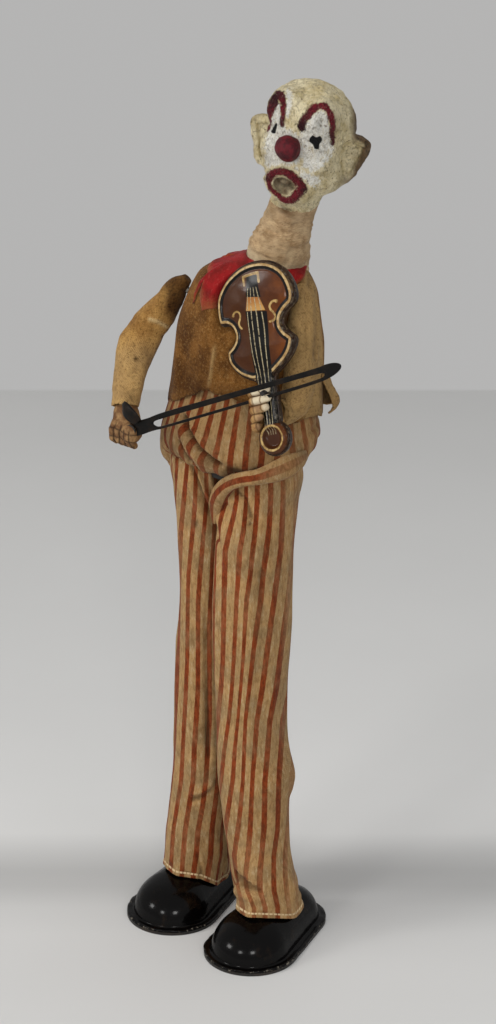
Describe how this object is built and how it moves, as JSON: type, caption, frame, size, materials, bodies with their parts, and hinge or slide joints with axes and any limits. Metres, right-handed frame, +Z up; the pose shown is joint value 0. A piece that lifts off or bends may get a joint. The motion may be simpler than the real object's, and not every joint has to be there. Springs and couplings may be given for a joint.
{
  "type": "clockwork toy figure",
  "caption": "Wind-up clown figure that sways on two legs and draws a bow across a small fiddle, with a tin clockwork inside a cloth dressed body.",
  "frame": {"origin": "on the floor between the two shoes, level with the soles", "axes": "+Z up, the clown faces -Y, +X is the clown's left, the fiddle's side"},
  "size_m": [0.0703, 0.0509, 0.2329],
  "materials": {
    "black_tin": "gloss",
    "steel": "plain steel, dulled",
    "spring_steel": "blued",
    "brass": "dull",
    "body_tin": "plain tinplate",
    "jacket_cloth": "worn tan cloth",
    "collar_cloth": "red felt",
    "trouser_cloth": "cream cloth with rust stripes",
    "fiddle_paint": "printed tin, brown",
    "fiddle_side": "dark lacquered tin",
    "hand_paint": "painted, worn",
    "moulded_head": "painted papier-mache, cream and white",
    "nose_paint": "crimson paint"
  },
  "bodies": {
    "stand": {"right_shoe_upper": "black_tin", "right_sole_plate": "black_tin", "left_shoe_upper": "black_tin", "left_sole_plate": "black_tin", "right_leg_rod": "steel", "left_leg_rod": "steel", "rod_collars": "steel", "hip_bracket": "brass", "right_trouser_leg": "trouser_cloth", "left_trouser_leg": "trouser_cloth"},
    "torso": {"sway_pin": "steel", "frame_front_plate": "brass", "frame_back_plate": "brass", "frame_pillars": "steel", "mainspring": "spring_steel", "body_front_shell": "body_tin", "body_back_shell": "body_tin", "shell_screws": "steel", "link_guides": "steel", "jacket": "jacket_cloth", "coat_tail": "jacket_cloth", "collar": "collar_cloth", "trouser_seat": "trouser_cloth", "fiddle_top": "fiddle_paint", "fiddle_back": "fiddle_side", "fiddle_stud": "steel", "guide_peg": "black_tin", "left_sleeve": "jacket_cloth", "left_hand": "hand_paint", "neck_pivot_pin": "steel"},
    "head_and_neck": {"head": "moulded_head", "nose": "nose_paint", "neck": "moulded_head", "neck_post": "steel"},
    "bow_arm": {"arm_shaft": "steel", "arm_lever": "brass", "arm_wire": "steel", "right_sleeve": "jacket_cloth", "right_hand": "hand_paint", "bow_rivet": "black_tin"},
    "fiddle_bow": {"bow": "black_tin"},
    "winding": {"winding_key": "brass", "winding_arbor": "steel", "ratchet_wheel": "steel"},
    "first_wheel": {"great_wheel": "brass", "click_spring": "spring_steel"},
    "middle_wheel": {"second_wheel": "brass", "second_arbor": "steel"},
    "crank": {"crank_pinion": "brass", "crank_arbor": "steel", "bow_crank": "brass", "sway_crank": "brass"},
    "link": {"sway_link": "brass"}
  },
  "joints": [
    {"name": "torso_sway", "type": "hinge", "parent": "stand", "child": "torso", "pos_m": [0.0005, 0.004, 0.128], "axis": [0, 1, 0], "range_deg": [-11.5, 0.5]},
    {"name": "sway_link_slide", "type": "slide", "parent": "torso", "child": "link", "axis": [0.0958, 0, 0.9954], "range_m": [-0.0017, 0.0001]},
    {"name": "head_tilt", "type": "hinge", "parent": "torso", "child": "head_and_neck", "pos_m": [0.00438, 0.004, 0.16831], "axis": [0, 1, 0], "range_deg": [-11, 3]},
    {"name": "bow_arm_swing", "type": "hinge", "parent": "torso", "child": "bow_arm", "pos_m": [-0.00325, 0.004, 0.17256], "axis": [0, 1, 0], "range_deg": [-10, 10]},
    {"name": "bow_pivot", "type": "hinge", "parent": "bow_arm", "child": "fiddle_bow", "pos_m": [-0.01861, -0.01665, 0.1434], "axis": [0, 1, 0], "range_deg": [-3.9, 3.9]},
    {"name": "winding_key_turn", "type": "hinge", "parent": "torso", "child": "winding", "pos_m": [0.00213, 0.004, 0.14492], "axis": [0, 1, 0], "continuous": true},
    {"name": "great_wheel_turn", "type": "hinge", "parent": "torso", "child": "first_wheel", "pos_m": [0.00213, 0.0026, 0.14492], "axis": [0, 1, 0], "continuous": true},
    {"name": "second_wheel_turn", "type": "hinge", "parent": "torso", "child": "middle_wheel", "pos_m": [0.00859, 0.004, 0.15846], "axis": [0, 1, 0], "continuous": true},
    {"name": "crank_turn", "type": "hinge", "parent": "torso", "child": "crank", "pos_m": [-0.00247, 0.004, 0.16051], "axis": [0, 1, 0], "continuous": true}
  ],
  "couplings": [
    {"joint": "sway_link_slide", "follows": "torso_sway", "m_per_rad": 0.008},
    {"joint": "bow_pivot", "follows": "bow_arm_swing", "ratio": -0.3766},
    {"joint": "second_wheel_turn", "follows": "great_wheel_turn", "ratio": -4},
    {"joint": "crank_turn", "follows": "great_wheel_turn", "ratio": 16}
  ]
}
